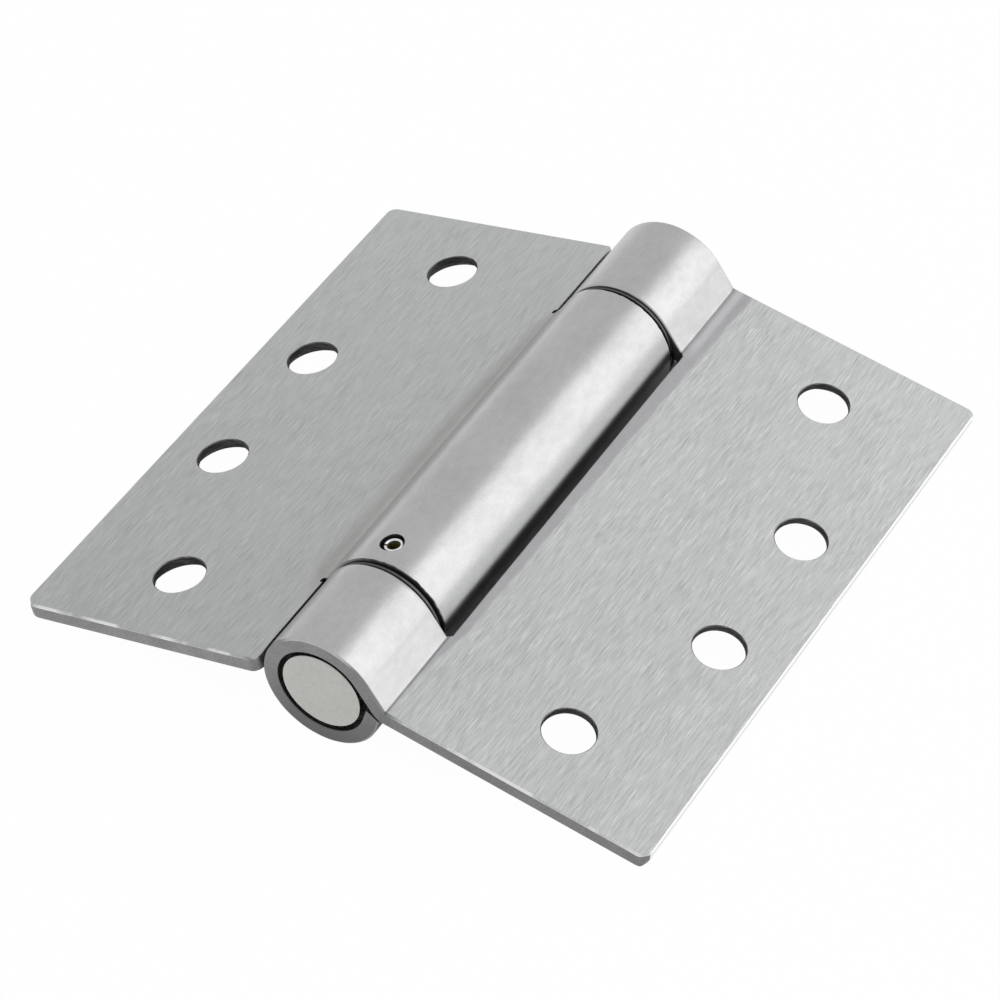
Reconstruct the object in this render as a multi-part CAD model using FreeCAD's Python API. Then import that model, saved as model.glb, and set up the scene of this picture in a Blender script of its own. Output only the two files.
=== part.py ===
"""Spring loaded door hinge: two rolled sheet leaves, a barrel with a torsion spring, and its pins.

The hinge lies open as it would on a table, back faces up, on the underside of its barrel and on the
lower outer edge of each leaf.  The barrel runs along Y.  X is across the leaves and Z is up.  The
origin is below the middle of the barrel, on the table.  All sizes are in millimetres.

Each leaf is drawn in its own leaf frame: the hinge axis is Y, the plate runs out along +X and its
back face looks along +Z.
"""
import FreeCAD, Part
import math
import os

from FreeCAD import Vector

# Leaves
leaf_height = 101.6          # along the barrel
leaf_reach = 52.2            # hinge axis to the outer edge of a leaf
sheet = 2.4                  # thickness of the steel sheet
back_face_rise = 3.0         # back face of a leaf above the hinge axis
leaf_corner_radius = 1.5
rim_bevel = 0.2              # on the cut edges of the outer skin of the sheet

# Roll of the knuckles and the centre barrel
knuckle_radius = 9.45        # outside
roll_exit_angle = 47.0       # from the top of the roll to where it leaves the circle
knuckle_bend_radius = 0.5    # back face side of the bend from an end knuckle into its plate
barrel_bend_radius = 4.0     # the same bend beside the centre barrel
roll_tail_angle = 8.0        # below the hinge axis, where the last stretch of the roll runs straight
seam_gap = 0.28              # between the end of the roll and the underside of the sheet
seam_slope = 25.0            # slope of the cut at the end of the roll
barrel_length = 65.8         # centre barrel
barrel_slit_clearance = 0.55    # barrel leaf edge to the end knuckles
cutout_clearance = 1.15      # end knuckle leaf edge to the centre barrel
cutout_corner_radius = 0.5
slit_relief_radius = 0.5     # round notch at the inner end of each slit
slit_relief_shift = 0.2      # its centre beyond the edge of the slit, into the plate

# Screw holes, countersunk on the hidden inner face
screw_hole_radius = 3.92
screw_hole_land = 1.5        # straight part of the hole, from the back face
countersink_angle = 82.0
end_hole_reach = 32.5        # from the hinge axis
end_hole_span = 76.2         # between the two end holes
middle_hole_reach = 42.35
middle_hole_span = 24.9

# Thrust washers between the knuckles
washer_thickness = 0.9
washer_rim_inset = 0.35      # rim of a washer below the outside of the knuckles
washer_play = 0.1            # on each side of a washer

# Bushes and journals
bush_wall = 0.6
running_clearance = 0.05     # radial, between a journal and its bush
seat_clearance = 0.05        # radial, between the bore of the roll and what is fixed in it
washer_hole_clearance = 0.1
knuckle_bush_recess = 2.0    # from the end of the knuckle
barrel_bush_length = 8.0

# Pivot spindle at the end of the barrel that shows, fixed in the centre barrel
spindle_recess = 0.1         # rim of its end face below the end of the knuckle
spindle_rim_bevel = 0.2
spindle_collar_inset = 0.4   # collar from the end of the barrel
spindle_collar_length = 8.0

# Slotted pin that fixes the spindle in the barrel
slotted_pin_radius = 1.4
slotted_pin_wall = 0.42
slotted_pin_slit = 0.7
slotted_pin_depth = 5.0      # in the spindle collar
slotted_pin_sink = 0.45      # its top below the outside of the barrel
slotted_pin_inset = 4.3      # from the end of the barrel
slotted_pin_angle = 4.0      # from the back face normal of the barrel leaf, away from its plate
barrel_pin_hole_radius = 1.75
barrel_pin_hole_shift = 0.2  # the hole in the barrel is not quite in line with the pin
pin_seat_clearance = 0.02

# Tension adjuster in the other end knuckle
adjuster_recess = 0.4
adjuster_chamfer = 0.5
adjuster_shoulder_gap = 0.3  # head to the inner end of the knuckle
journal_past_bush = 0.4      # end of its journal beyond the bush in the barrel
socket_across_flats = 5.0
socket_depth = 5.0
lock_hole_count = 4
lock_hole_depth = 3.0
lock_pin_radius = 1.2
lock_pin_clearance = 0.05
lock_pin_sink = 0.3
lock_pin_end_gap = 0.2
lock_pin_inset = 8.4         # from the end of the knuckle
lock_pin_angle = 125.0       # from the back face normal, round the closed side of the roll

# Torsion spring of square wire
wire_side = 2.4
coil_clearance = 0.35        # coil to the bore of the barrel
coil_gap = 0.7               # smallest gap between turns
coil_end_gap = 0.3           # end turns to the faces beside them
tang_bend_radius = 2.1       # centre line of the bend from the tang into the coil
tang_clearance = 0.15        # tang to each side of its slot
spigot_past_bend = 0.5       # outside of the spigot beyond the start of the bend
spigot_length = 7.0
coil_facet = 18.0            # turn of the wire from one flat stretch to the next, in degrees

# Worked out from the sizes above
bore_radius = knuckle_radius - sheet
inner_face_rise = back_face_rise - sheet
seat_radius = bore_radius - seat_clearance
bush_bore_radius = seat_radius - bush_wall
journal_radius = bush_bore_radius - running_clearance
washer_radius = knuckle_radius - washer_rim_inset
washer_bore_radius = journal_radius + washer_hole_clearance
half_height = leaf_height / 2
half_barrel = barrel_length / 2
half_cutout = half_barrel + washer_thickness + 2 * washer_play
plate_start_barrel_leaf = knuckle_radius + barrel_slit_clearance
plate_start_knuckle_leaf = knuckle_radius + cutout_clearance
coil_radius = bore_radius - coil_clearance - wire_side / 2
tang_bend_centre = math.sqrt((coil_radius - tang_bend_radius) ** 2 - tang_bend_radius ** 2)
spigot_radius = tang_bend_centre + spigot_past_bend
spindle_collar_end = -half_barrel + spindle_collar_inset + spindle_collar_length
adjuster_journal_end = half_barrel - barrel_bush_length - journal_past_bush
lock_hole_radius = lock_pin_radius + lock_pin_clearance
lock_pin_y = half_height - lock_pin_inset
slotted_pin_y = slotted_pin_inset - half_barrel
cutter_reach = 2 * knuckle_radius    # past everything on its side of the hinge axis

NEAR = 1e-3                  # places closer than this are taken as the same
HEXAGON = 6
ORIGIN = Vector(0, 0, 0)
ALONG = Vector(0, 1, 0)
UP = Vector(0, 0, 1)


def lying_angle():
    """Slope of each leaf in degrees, with the barrel and the lower outer edges on the table."""
    edge_distance = math.hypot(leaf_reach, inner_face_rise)
    return math.degrees(math.asin(knuckle_radius / edge_distance) + math.atan2(inner_face_rise, leaf_reach))


def polar(radius, degrees):
    """Point of the section, at an angle from the plate's direction towards its back face."""
    turn = math.radians(degrees)
    return Vector(radius * math.cos(turn), 0, radius * math.sin(turn))


def arc(centre, radius, start, end):
    points = [centre + polar(radius, angle) for angle in (start, (start + end) / 2, end)]
    return Part.Arc(*points).toShape()


def line(start, end):
    return Part.LineSegment(start, end).toShape()


def sheet_section(bend_radius):
    """Closed section of a leaf: the roll, the reverse bend and the plate, all one thickness."""
    leaving = 90 - roll_exit_angle
    normal = polar(1, leaving)
    bend_rise = back_face_rise + bend_radius
    bend_reach = (knuckle_radius + bend_radius - bend_rise * normal.z) / normal.x
    bend = Vector(bend_reach, 0, bend_rise)
    inner_bend_radius = bend_radius + sheet

    tail = -roll_tail_angle
    tail_way = polar(1, tail + 90)
    under = bend_rise - math.sqrt(inner_bend_radius ** 2 - (bend_reach - knuckle_radius) ** 2)
    seam = Vector(knuckle_radius, 0, under - seam_gap)
    seam_way = polar(1, -seam_slope)

    def tail_end(start):
        gap = seam - start
        run = (gap.x * seam_way.z - gap.z * seam_way.x) / (tail_way.x * seam_way.z - tail_way.z * seam_way.x)
        return start + tail_way * run

    outer_tail = polar(knuckle_radius, tail)
    inner_tail = polar(bore_radius, tail)
    outer_end = tail_end(outer_tail)
    inner_end = tail_end(inner_tail)
    outer_edge = Vector(leaf_reach, 0, back_face_rise)
    inner_edge = Vector(leaf_reach, 0, inner_face_rise)
    plate_outer = Vector(bend_reach, 0, back_face_rise)
    plate_inner = Vector(bend_reach, 0, inner_face_rise)
    round_start = tail
    round_end = leaving - 360
    edges = [
        line(outer_end, outer_tail),
        arc(ORIGIN, knuckle_radius, round_start, round_end),
        line(polar(knuckle_radius, leaving), bend - normal * bend_radius),
        arc(bend, bend_radius, 180 + leaving, 270),
        line(plate_outer, outer_edge),
        line(outer_edge, inner_edge),
        line(inner_edge, plate_inner),
        arc(bend, inner_bend_radius, 270, 180 + leaving),
        line(bend - normal * inner_bend_radius, polar(bore_radius, leaving)),
        arc(ORIGIN, bore_radius, round_end, round_start),
        line(inner_tail, inner_end),
        line(inner_end, outer_end),
    ]
    return Part.Face(Part.Wire(edges))


def rolled_blank(bend_radius):
    section = sheet_section(bend_radius)
    section.translate(Vector(0, -half_height, 0))
    return section.extrude(Vector(0, leaf_height, 0))


def block(x_from, x_to, y_from, y_to):
    """Cutter through the whole height of a leaf."""
    corner = Vector(x_from, y_from, -cutter_reach)
    return Part.makeBox(x_to - x_from, y_to - y_from, 2 * cutter_reach, corner)


def upright_edges(shape, corners):
    """Edges across the sheet at the plan corners given as (x, y)."""
    found = []
    for edge in shape.Edges:
        box = edge.BoundBox
        upright = box.ZLength > sheet / 2 and box.XLength < NEAR and box.YLength < NEAR
        if upright and any(math.hypot(box.XMin - x, box.YMin - y) < NEAR for x, y in corners):
            found.append(edge)
    return found


def middle_normal(face):
    u_from, u_to, v_from, v_to = face.ParameterRange
    return face.normalAt((u_from + u_to) / 2, (v_from + v_to) / 2)


def is_outer_skin(face):
    """Whether a face of the sheet looks away from the hinge axis at its middle."""
    u_from, u_to, v_from, v_to = face.ParameterRange
    middle = face.valueAt((u_from + u_to) / 2, (v_from + v_to) / 2)
    return Vector(middle.x, 0, middle.z).dot(middle_normal(face)) > 0


def is_cut_face(face):
    """Whether a face of a leaf is where the sheet was cut, and not one of its two skins."""
    surface = face.Surface
    if isinstance(surface, Part.Cylinder):
        return abs(surface.Axis.y) < NEAR
    normal = middle_normal(face)
    seam_normal = polar(1, 90 - seam_slope)
    square_cut = abs(normal.y) > 1 - NEAR or (normal - Vector(1, 0, 0)).Length < NEAR
    return square_cut or (normal + Vector(1, 0, 0)).Length < NEAR or (normal - seam_normal).Length < NEAR


def is_outline_face(face, end_planes):
    """Whether a cut face belongs to the outline that is bevelled: ends, corners and outer edge."""
    if not is_cut_face(face):
        return False
    if isinstance(face.Surface, Part.Cylinder):
        return True
    middle = face.CenterOfMass
    at_end = any(abs(abs(middle.y) - plane) < NEAR for plane in end_planes)
    return at_end or abs(middle.x - leaf_reach) < NEAR


def bevel_rims(leaf, end_planes):
    """Bevels the outer skin's edge along the outline."""
    edges = []
    for edge in leaf.Edges:
        faces = leaf.ancestorsOfType(edge, Part.Face)
        on_outline = any(is_outline_face(face, end_planes) for face in faces)
        if on_outline and any(is_outer_skin(face) for face in faces if not is_cut_face(face)):
            edges.append(edge)
    return leaf.makeChamfer(rim_bevel, edges)


def screw_hole(x, y):
    """Cutter for one screw hole, countersunk from the inner face."""
    land_end = back_face_rise - screw_hole_land
    depth = land_end - inner_face_rise
    spare = 1.0
    widening = math.tan(math.radians(countersink_angle / 2))
    hole = Part.makeCylinder(screw_hole_radius, sheet + 2 * spare, Vector(x, y, inner_face_rise - spare), UP)
    mouth = screw_hole_radius + (depth + spare) * widening
    cone = Part.makeCone(mouth, screw_hole_radius, depth + spare, Vector(x, y, inner_face_rise - spare), UP)
    return hole.fuse(cone)


def screw_holes():
    ends = [(end_hole_reach, side * end_hole_span / 2) for side in (-1, 1)]
    middles = [(middle_hole_reach, side * middle_hole_span / 2) for side in (-1, 1)]
    return [screw_hole(x, y) for x, y in ends + middles]


def make_end_knuckle_leaf():
    """The leaf whose sheet is rolled into a short knuckle at each end of the barrel."""
    leaf = rolled_blank(knuckle_bend_radius)
    outer_corners = [(leaf_reach, -half_height), (leaf_reach, half_height)]
    leaf = leaf.makeFillet(leaf_corner_radius, upright_edges(leaf, outer_corners))
    leaf = bevel_rims(leaf, [half_height])
    cutout = block(-cutter_reach, plate_start_knuckle_leaf, -half_cutout, half_cutout)
    corners = [(plate_start_knuckle_leaf, -half_cutout), (plate_start_knuckle_leaf, half_cutout)]
    cutout = cutout.makeFillet(cutout_corner_radius, upright_edges(cutout, corners))
    lock_hole = radial_cylinder(lock_hole_radius, 0, cutter_reach, lock_pin_y, lock_pin_angle)
    return leaf.cut([cutout, lock_hole] + screw_holes())


def make_barrel_leaf():
    """The leaf whose sheet is rolled into the long centre barrel."""
    leaf = rolled_blank(barrel_bend_radius)
    reliefs = []
    for side in (-1, 1):
        low, high = sorted((side * half_barrel, side * leaf_height))
        leaf = leaf.cut(block(-cutter_reach, plate_start_barrel_leaf, low, high))
        foot = Vector(plate_start_barrel_leaf + slit_relief_shift, side * half_barrel, -cutter_reach)
        reliefs.append(Part.makeCylinder(slit_relief_radius, 2 * cutter_reach, foot, UP))
    corners = [(x, y) for x in (leaf_reach, plate_start_barrel_leaf) for y in (-half_height, half_height)]
    leaf = leaf.makeFillet(leaf_corner_radius, upright_edges(leaf, corners))
    leaf = bevel_rims(leaf, [half_height, half_barrel])
    turn = math.degrees(barrel_pin_hole_shift / knuckle_radius)
    hole = radial_cylinder(barrel_pin_hole_radius, 0, cutter_reach, slotted_pin_y, slotted_pin_angle - turn)
    return leaf.cut([hole] + reliefs + screw_holes())


def radial_cylinder(radius, start, end, y, angle):
    """Cylinder on a radius of the barrel, at an angle from the back face normal away from the plate."""
    way = polar(1, 90 + angle)
    return Part.makeCylinder(radius, end - start, way * start + Vector(0, y, 0), way)


def ring(outer, inner, y_from, y_to):
    tube = Part.makeCylinder(outer, y_to - y_from, Vector(0, y_from, 0), ALONG)
    return tube.cut(Part.makeCylinder(inner, y_to - y_from, Vector(0, y_from, 0), ALONG))


def make_thrust_washer(side):
    start = half_barrel + washer_play
    washer = ring(washer_radius, washer_bore_radius, start, start + washer_thickness)
    return washer if side > 0 else washer.mirror(ORIGIN, ALONG)


def make_knuckle_bush():
    """Bush of the end knuckle that shows, in from the knuckle's end."""
    return ring(seat_radius, bush_bore_radius, -half_height + knuckle_bush_recess, -half_cutout)


def make_barrel_bush():
    """Bush in the other end of the centre barrel."""
    return ring(seat_radius, bush_bore_radius, half_barrel - barrel_bush_length, half_barrel)


def turned(profile):
    """Solid turned about the hinge axis from a closed outline of (radius, y) points."""
    points = [Vector(radius, y, 0) for radius, y in profile]
    return Part.Face(Part.makePolygon(points + points[:1])).revolve(ORIGIN, ALONG, 360)


def spigot_slot(y_from, y_to):
    """Cutter for the slot that takes the straight end of the spring, across the hinge axis."""
    width = wire_side + 2 * tang_clearance
    return Part.makeBox(width, y_to - y_from, 2 * cutter_reach, Vector(-width / 2, y_from, -cutter_reach))


def make_pivot_spindle():
    """Turned spindle: the end face that shows, the journal, the collar in the barrel and the spigot."""
    rim = -half_height + spindle_recess
    collar_start = -half_barrel + spindle_collar_inset
    tip = spindle_collar_end + spigot_length
    spindle = turned([
        (0, rim),
        (journal_radius - spindle_rim_bevel, rim),
        (journal_radius, rim + spindle_rim_bevel),
        (journal_radius, collar_start),
        (seat_radius, collar_start),
        (seat_radius, spindle_collar_end),
        (spigot_radius, spindle_collar_end),
        (spigot_radius, tip),
        (0, tip),
    ])
    hole_radius = slotted_pin_radius + pin_seat_clearance
    hole_start = seat_radius - slotted_pin_depth
    hole = radial_cylinder(hole_radius, hole_start, cutter_reach, slotted_pin_y, slotted_pin_angle)
    slot = spigot_slot(spindle_collar_end + tang_clearance, tip)
    slot.rotate(ORIGIN, ALONG, -2 * lying_angle())
    return spindle.cut([hole, slot])


def make_spindle_pin():
    """Slotted spring pin, its slit towards the plate of the barrel leaf."""
    start = seat_radius - slotted_pin_depth
    end = knuckle_radius - slotted_pin_sink
    pin = radial_cylinder(slotted_pin_radius, start, end, slotted_pin_y, slotted_pin_angle)
    bore = radial_cylinder(slotted_pin_radius - slotted_pin_wall, start, end, slotted_pin_y, slotted_pin_angle)
    slit_corner = Vector(0, slotted_pin_y - slotted_pin_slit / 2, start)
    slit = Part.makeBox(2 * slotted_pin_radius, slotted_pin_slit, end - start, slit_corner)
    slit.rotate(ORIGIN, ALONG, -slotted_pin_angle)
    return pin.cut([bore, slit])


def make_tension_adjuster():
    """Turned plug with a hexagon socket and a row of lock holes, and the spigot for the spring."""
    face = half_height - adjuster_recess
    shoulder = half_cutout + adjuster_shoulder_gap
    tip = adjuster_journal_end - spigot_length
    plug = turned([
        (0, face),
        (seat_radius - adjuster_chamfer, face),
        (seat_radius, face - adjuster_chamfer),
        (seat_radius, shoulder),
        (journal_radius, shoulder),
        (journal_radius, adjuster_journal_end),
        (spigot_radius, adjuster_journal_end),
        (spigot_radius, tip),
        (0, tip),
    ])
    corner = socket_across_flats / 2 / math.cos(math.pi / HEXAGON)
    floor = Vector(0, face - socket_depth, 0)
    points = [polar(corner, 360 * k / HEXAGON) + floor for k in range(HEXAGON)]
    socket = Part.Face(Part.makePolygon(points + points[:1])).extrude(Vector(0, socket_depth, 0))
    cutters = [socket, spigot_slot(tip, adjuster_journal_end - tang_clearance)]
    start = seat_radius - lock_hole_depth
    for k in range(lock_hole_count):
        angle = lock_pin_angle + 360 * k / lock_hole_count
        cutters.append(radial_cylinder(lock_hole_radius, start, cutter_reach, lock_pin_y, angle))
    return plug.cut(cutters)


def make_tension_lock_pin():
    """Plain pin through the end knuckle into a lock hole of the adjuster."""
    start = seat_radius - lock_hole_depth + lock_pin_end_gap
    end = knuckle_radius - lock_pin_sink
    return radial_cylinder(lock_pin_radius, start, end, lock_pin_y, lock_pin_angle)


def bend_stations(centre, radius, start, end, climb):
    """Places and outward angles along a bend of the wire, which climbs along the hinge axis."""
    steps = max(1, round(abs(end - start) / coil_facet))
    stations = []
    for k in range(steps + 1):
        share = k / steps
        angle = start + (end - start) * share
        stations.append((centre + polar(radius, angle) + ALONG * climb * share, angle))
    return stations


def wire_section(place, angle):
    """Corners of the wire's square section, two of its sides along the hinge axis."""
    out = polar(wire_side / 2, angle)
    along = ALONG * (wire_side / 2)
    return [place - out - along, place + out - along, place + out + along, place - out + along]


def flat_face(*corners):
    return Part.Face(Part.makePolygon(list(corners) + [corners[0]]))


def stretch_faces(section, following):
    """Sides of one stretch of wire: one flat face outside and inside, two that meet above and below."""
    inner_low, outer_low, outer_high, inner_high = section
    next_inner_low, next_outer_low, next_outer_high, next_inner_high = following
    return [
        flat_face(outer_low, outer_high, next_outer_high, next_outer_low),
        flat_face(inner_high, inner_low, next_inner_low, next_inner_high),
        flat_face(inner_low, outer_low, next_outer_low),
        flat_face(inner_low, next_outer_low, next_inner_low),
        flat_face(inner_high, outer_high, next_outer_high),
        flat_face(inner_high, next_outer_high, next_inner_high),
    ]


def flat_sided_wire(sections):
    faces = [flat_face(*sections[0]), flat_face(*sections[-1])]
    for section, following in zip(sections, sections[1:]):
        faces += stretch_faces(section, following)
    shell = Part.makeShell(faces)
    shell.sewShape()
    return Part.Solid(shell)


def make_torsion_spring():
    """Coil of square wire with a tang across the hinge axis at each end."""
    first = spindle_collar_end + coil_end_gap + wire_side / 2
    last = adjuster_journal_end - coil_end_gap - wire_side / 2
    turns = int((last - first) / (wire_side + coil_gap))
    tang = spigot_radius - tang_clearance
    leaving = math.degrees(math.asin(tang_bend_centre / (coil_radius - tang_bend_radius)))
    near_bend = Vector(tang_bend_radius, first, -tang_bend_centre)
    far_bend = Vector(tang_bend_radius, last, tang_bend_centre)
    stations = [(Vector(0, first, tang), -180)]
    stations += bend_stations(near_bend, tang_bend_radius, -180, -leaving, 0)
    stations += bend_stations(Vector(0, first, 0), coil_radius, -leaving, 0, 0)[1:]
    stations += bend_stations(Vector(0, first, 0), coil_radius, 0, 360 * turns, last - first)[1:]
    stations += bend_stations(Vector(0, last, 0), coil_radius, 0, leaving, 0)[1:]
    stations += bend_stations(far_bend, tang_bend_radius, leaving, 180, 0)[1:]
    stations += [(Vector(0, last, -tang), 180)]
    return flat_sided_wire([wire_section(place, angle) for place, angle in stations])


def lay_end_knuckle_side(shape):
    """From the leaf frame to its place, plate sloping down along +X."""
    shape.rotate(ORIGIN, ALONG, lying_angle())
    shape.translate(UP * knuckle_radius)
    return shape


def lay_barrel_side(shape):
    """From the leaf frame to its place, plate sloping down along -X."""
    shape = shape.mirror(ORIGIN, Vector(1, 0, 0))
    shape.rotate(ORIGIN, ALONG, -lying_angle())
    shape.translate(UP * knuckle_radius)
    return shape


def main():
    end_knuckle_side = {
        "end_knuckle_leaf": make_end_knuckle_leaf(),
        "knuckle_bush": make_knuckle_bush(),
        "near_thrust_washer": make_thrust_washer(-1),
        "far_thrust_washer": make_thrust_washer(1),
        "tension_adjuster": make_tension_adjuster(),
        "tension_lock_pin": make_tension_lock_pin(),
        "torsion_spring": make_torsion_spring(),
    }
    barrel_side = {
        "barrel_leaf": make_barrel_leaf(),
        "barrel_bush": make_barrel_bush(),
        "pivot_spindle": make_pivot_spindle(),
        "spindle_pin": make_spindle_pin(),
    }
    placed = {node: lay_end_knuckle_side(shape) for node, shape in end_knuckle_side.items()}
    placed.update({node: lay_barrel_side(shape) for node, shape in barrel_side.items()})
    os.makedirs("parts", exist_ok=True)
    for node, shape in placed.items():
        shape.exportStep(os.path.join("parts", node + ".step"))
        print(node, len(shape.Solids), round(shape.Volume, 1), shape.isValid(), shape.isClosed())


main()
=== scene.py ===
"""Looks of the spring loaded door hinge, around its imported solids."""

import math
from collections import namedtuple

import bmesh
import bpy
from mathutils import Matrix, Vector, noise


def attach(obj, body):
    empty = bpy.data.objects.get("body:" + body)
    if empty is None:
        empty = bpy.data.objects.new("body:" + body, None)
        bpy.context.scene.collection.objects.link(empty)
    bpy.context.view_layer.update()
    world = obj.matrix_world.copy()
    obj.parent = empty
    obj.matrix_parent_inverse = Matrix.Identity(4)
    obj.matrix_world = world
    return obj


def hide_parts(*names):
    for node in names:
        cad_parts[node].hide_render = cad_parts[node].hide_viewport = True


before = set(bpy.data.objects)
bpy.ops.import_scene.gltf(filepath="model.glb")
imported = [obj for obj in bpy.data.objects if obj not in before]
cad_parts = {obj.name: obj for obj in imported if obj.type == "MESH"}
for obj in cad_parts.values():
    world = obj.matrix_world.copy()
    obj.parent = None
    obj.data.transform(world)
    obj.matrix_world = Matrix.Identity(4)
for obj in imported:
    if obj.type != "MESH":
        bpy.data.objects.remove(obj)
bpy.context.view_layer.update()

MM = 0.001

# Leaves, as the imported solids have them, in millimetres and degrees
LEAF_HEIGHT = 101.6
LEAF_REACH = 52.2
SHEET = 2.4
BACK_FACE_RISE = 3.0
CORNER_RADIUS = 1.5
KNUCKLE_RADIUS = 9.45
ROLL_EXIT_ANGLE = 47.0
KNUCKLE_BEND_RADIUS = 0.5
BARREL_BEND_RADIUS = 4.0
ROLL_TAIL_ANGLE = 8.0
SEAM_GAP = 0.28
SEAM_SLOPE = 25.0
BARREL_LENGTH = 65.8
BARREL_SLIT_CLEARANCE = 0.55
CUTOUT_CLEARANCE = 1.15
CUTOUT_CORNER_RADIUS = 0.5
SLIT_RELIEF_RADIUS = 0.5
SLIT_RELIEF_SHIFT = 0.2
SCREW_HOLE_RADIUS = 3.92
COUNTERSINK_ANGLE = 82.0
END_HOLES = (32.5, 76.2)            # reach and span
MIDDLE_HOLES = (42.35, 24.9)
LOCK_HOLE = (1.25, 42.4, 125.0)     # radius, place along the barrel, angle from the back face normal

# Turned and small pieces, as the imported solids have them
SEAT_RADIUS = 7.0
JOURNAL_RADIUS = 6.35
SPIGOT_RADIUS = 3.17
SPIGOT_LENGTH = 7.0
SPIGOT_SLOT = 2.7
SLOT_START = 0.15
SPINDLE_RECESS = 0.1
COLLAR_INSET = 0.4
COLLAR_LENGTH = 8.0
SLOTTED_PIN_DEPTH = 5.0
SLOTTED_PIN_PLACE = (-28.6, 4.0)    # along the barrel, angle from the back face normal
PIN_SEAT = 0.02
WASHER = (9.1, 6.45, 0.9, 0.1)      # outer and inner radius, thickness, play

# Changed a little from the solids, after the photograph
CUTOUT_LENGTH = 67.8
SLIT_TRIM = 0.15
SCREW_HOLE_LAND = 1.15
PIN_HOLE = (1.83, -28.6, 2.79)      # radius, place along the barrel, angle from the back face normal
SLOTTED_PIN_RADIUS = 1.46
SLOTTED_PIN_WALL = 0.5
SLOTTED_PIN_SLIT = 0.35
SLOTTED_PIN_TURN = 25.0
SLOTTED_PIN_SINK = 0.32

# Edges and marks that the solids leave plain
RIM_ROUND = 0.3
FINE_ROUND = 0.2
HOLE_RIM = 0.14
WEAR = 0.07
NICK_DEPTH = 0.25
BARREL_TRIM = 0.06
TORN_EDGE = 0.3
BARREL_SLANT = 0.12
OUTER_TAPER = 0.5
OUTER_TAPER_START = 0.9             # below the back face
OUTER_TAPER_WIDTH = 0.8
WORN_CORNER = 2.2
FACE_DOME = 0.04
SPINDLE_RIM = 0.15
WASHER_RIM = 0.2

# Divisions of the blanks: degrees of a turn, then millimetres along the barrel and below the back face
ROLL_STEP = 3.0
BEND_STEP = 4.0
WEAR_STEP = 2.0
TAPER_DEPTHS = (1.1, 1.5, 1.85)

# Sorting of the faces of a blank: rise of their normals, and the material that each kind takes, then the
# angle in degrees from which an edge stays sharp
UPRIGHT = 0.1
LEVEL = 0.98
# PAINTED_SHADE is the near-black painted shade on the walls of the cutout
SKIN, CUT, PAINTED_SHADE = 0, 1, 2
SHARP_ANGLE = 35.0

# Worked out
HALF_HEIGHT = LEAF_HEIGHT / 2
HALF_BARREL = BARREL_LENGTH / 2
HALF_CUTOUT = CUTOUT_LENGTH / 2
SLIT_REACH = KNUCKLE_RADIUS + BARREL_SLIT_CLEARANCE + SLIT_TRIM
CUTOUT_REACH = KNUCKLE_RADIUS + CUTOUT_CLEARANCE
LEAVING = 90.0 - ROLL_EXIT_ANGLE
INNER_RISE = BACK_FACE_RISE - SHEET
SLOPE = math.asin(KNUCKLE_RADIUS / math.hypot(LEAF_REACH, INNER_RISE)) + math.atan2(INNER_RISE, LEAF_REACH)
AXIS = Vector((0, 0, KNUCKLE_RADIUS)) * MM
ALONG = Vector((0, 1, 0))


# Sections and places

def polar(radius, degrees):
    """Point of a leaf's section, as (reach, rise), at an angle from the plate towards its back face."""
    return Vector((radius * math.cos(math.radians(degrees)), radius * math.sin(math.radians(degrees))))


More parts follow.
